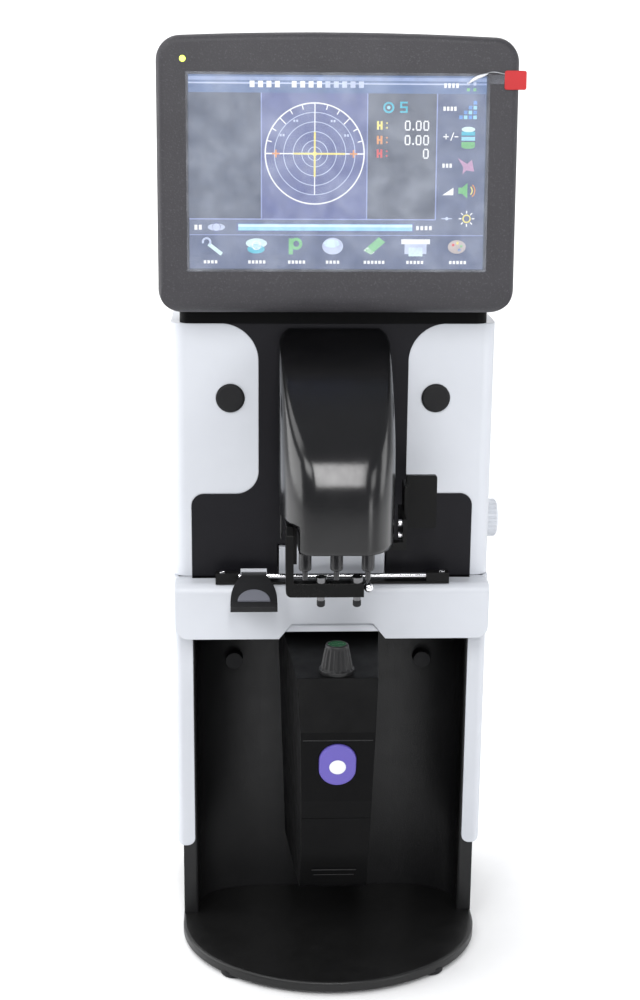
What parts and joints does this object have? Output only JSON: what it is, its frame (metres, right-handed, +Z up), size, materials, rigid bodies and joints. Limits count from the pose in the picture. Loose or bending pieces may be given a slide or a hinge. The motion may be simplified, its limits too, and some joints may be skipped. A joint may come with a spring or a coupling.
{
  "type": "lensmeter",
  "caption": "Desktop auto lensmeter: tilting touch display over a nose with lens clamp and marker, sliding lens table, measuring module and round base.",
  "frame": {"origin": "on the desk plane, under the middle of the footprint", "axes": "+X to the object's right as the operator faces it, +Y to the back, +Z up"},
  "size_m": [0.1935, 0.1974, 0.5215],
  "materials": {
    "base_black": "satin powder coat",
    "rubber_black": "matt rubber",
    "sheet_steel": "zinc plated sheet",
    "cast_aluminium": "as cast",
    "anodised_black": "black anodised",
    "lens_glass": "polished",
    "black_plastic": "satin moulded",
    "board_green": "solder mask",
    "white_plastic": "fine satin moulding",
    "fascia_black": "matt moulded",
    "gloss_black": "high gloss",
    "bezel_grey": "speckled satin",
    "chrome": "polished",
    "lever_black": "semi-matt paint",
    "pad_black": "satin moulded",
    "pad_grey": "smooth rubber",
    "clip_white": "satin",
    "pen_black": "semi-gloss",
    "button_purple": "satin",
    "window_white": "translucent",
    "coated_glass": "green anti-reflection coat",
    "paper_white": "thermal paper",
    "screen_glass": "polished",
    "screen_image": "lit screen",
    "film_clear": "thin clear film",
    "tab_red": "gloss",
    "led_green": "lit lens",
    "plate_silver": "brushed, blank"
  },
  "bodies": {
    "stand": {"base_plate": "base_black", "rubber_feet": "rubber_black", "chassis": "sheet_steel", "optical_arm": "cast_aluminium", "lamp_housing": "anodised_black", "collimator_lens": "lens_glass", "lower_front_cover": "black_plastic", "lower_rear_cover": "black_plastic", "power_inlet": "black_plastic", "switch_frame": "black_plastic", "data_ports": "black_plastic", "main_board": "board_green", "upper_front_cover": "white_plastic", "screw_caps": "rubber_black", "front_fascia": "fascia_black", "rear_cover": "white_plastic", "rating_plate": "plate_silver", "printer_frame": "black_plastic", "nose_cover": "gloss_black", "table_bed": "black_plastic", "table_guide_rods": "chrome", "module_upper_cover": "black_plastic", "module_lower_cover": "black_plastic", "detector_barrel": "anodised_black", "hartmann_plate": "anodised_black", "nosepiece": "black_plastic", "protective_glass": "coated_glass", "hinge_cowl": "black_plastic", "tilt_brackets": "sheet_steel"},
    "display": {"tilt_arms": "sheet_steel", "display_bezel": "bezel_grey", "display_back": "black_plastic", "touch_glass": "screen_glass", "lcd_panel": "screen_image", "status_led": "led_green", "screen_film": "film_clear", "film_tab": "tab_red"},
    "lens_table": {"lens_table": "white_plastic", "rail_plate": "lever_black", "rail_rod": "chrome", "rail_screws": "chrome"},
    "nose_pad": {"nose_pad": "pad_black", "pad_cushion": "pad_grey", "pad_clip": "clip_white"},
    "table_knob": {"knob_shaft": "chrome", "table_knob": "white_plastic"},
    "lens_clamp": {"clamp_arm": "gloss_black", "clamp_pins": "chrome", "clamp_tips": "rubber_black", "clamp_ball": "chrome"},
    "marker": {"marker_carriage": "black_plastic", "marker_pens": "pen_black", "marker_lever": "lever_black", "lever_screws": "chrome", "marker_paddle": "lever_black"},
    "measure_button": {"measure_button": "button_purple", "button_window": "window_white"},
    "printer_door": {"printer_door": "white_plastic"},
    "paper_roll": {"paper_roll": "paper_white"},
    "power_rocker": {"power_rocker": "black_plastic"}
  },
  "joints": [
    {"name": "display_tilt", "type": "hinge", "parent": "stand", "child": "display", "pos_m": [0, 0.008, 0.38], "axis": [-1, 0, 0], "range_deg": [-5, 25]},
    {"name": "table_slide", "type": "slide", "parent": "stand", "child": "lens_table", "axis": [0, -1, 0], "range_m": [0, 0.015]},
    {"name": "knob_turn", "type": "hinge", "parent": "stand", "child": "table_knob", "pos_m": [0, 0.016, 0.249], "axis": [-1, 0, 0], "range_deg": [0, 86]},
    {"name": "nose_pad_slide", "type": "slide", "parent": "lens_table", "child": "nose_pad", "axis": [1, 0, 0], "range_m": [0, 0.089]},
    {"name": "clamp_slide", "type": "slide", "parent": "stand", "child": "lens_clamp", "axis": [0, 0, -1], "range_m": [0, 0.024]},
    {"name": "marker_slide", "type": "slide", "parent": "stand", "child": "marker", "axis": [0, -0.4472, -0.8944], "range_m": [0, 0.029], "stiffness_N_per_m": 60, "springref_m": -0.02},
    {"name": "button_press", "type": "slide", "parent": "stand", "child": "measure_button", "axis": [0, 0.9814, 0.1918], "range_m": [0, 0.0015], "stiffness_N_per_m": 800, "springref_m": -0.0006},
    {"name": "printer_door_hinge", "type": "hinge", "parent": "stand", "child": "printer_door", "pos_m": [-0.08865, 0.0525, 0.25364], "axis": [0, -1, 0], "range_deg": [0, 75]},
    {"name": "paper_spin", "type": "hinge", "parent": "stand", "child": "paper_roll", "pos_m": [-0.06, 0.0388, 0.29], "axis": [0, 1, 0], "continuous": true},
    {"name": "power_rock", "type": "hinge", "parent": "stand", "child": "power_rocker", "pos_m": [-0.018, 0.0955, 0.032], "axis": [1, 0, 0], "range_deg": [-6, 6]}
  ],
  "couplings": [
    {"joint": "knob_turn", "follows": "table_slide", "rad_per_m": 100}
  ]
}
